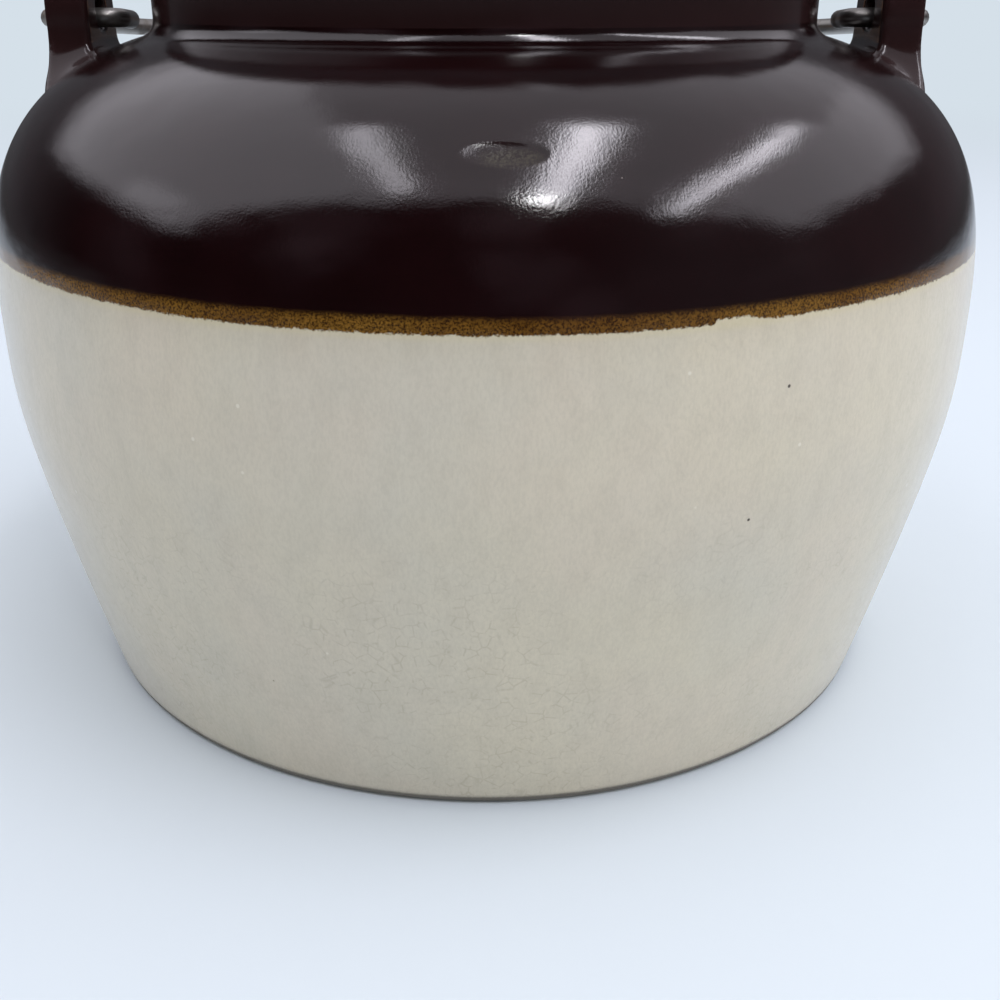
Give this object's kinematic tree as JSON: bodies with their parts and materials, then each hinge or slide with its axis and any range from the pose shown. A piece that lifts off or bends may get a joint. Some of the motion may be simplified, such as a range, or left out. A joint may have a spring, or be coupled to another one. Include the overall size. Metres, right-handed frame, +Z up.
{
  "type": "covered stoneware bean pot with bail handle",
  "caption": "Bulbous two-tone stoneware pot with a recessed domed lid, side ears and a swinging wire bail with a turned wooden grip, for slow-cooking and serving beans.",
  "frame": {"origin": "centre of the flat base, on the surface that the pot stands on", "axes": "+Z up along the pot's axis, X through the two ears and along the bail's hinge, and the bail rests at +Y, the back"},
  "size_m": [0.216, 0.225, 0.182],
  "materials": {
    "cream_glaze": "glossy warm cream glaze with fine crazing below a brown-glazed shoulder",
    "brown_glaze": "glossy near-black red-brown glaze",
    "bail_steel": "dull drawn steel wire",
    "grip_wood": "turned hardwood, worn and oiled"
  },
  "bodies": {
    "pot": {"pot_body": "cream_glaze", "ear_right": "brown_glaze", "ear_left": "brown_glaze"},
    "lid": {"lid": "brown_glaze", "lid_knob": "brown_glaze"},
    "bail": {"bail_wire": "bail_steel"},
    "grip": {"grip": "grip_wood"}
  },
  "joints": [
    {"name": "lid_lift", "type": "slide", "parent": "pot", "child": "lid", "axis": [0, 0, 1], "range_m": [0, 0.06]},
    {"name": "bail_swing", "type": "hinge", "parent": "pot", "child": "bail", "pos_m": [0, 0, 0.13887], "axis": [1, 0, 0], "range_deg": [0, 187.02]},
    {"name": "grip_spin", "type": "hinge", "parent": "bail", "child": "grip", "pos_m": [0, 0.10451, 0.13246], "axis": [1, 0, 0], "continuous": true}
  ]
}
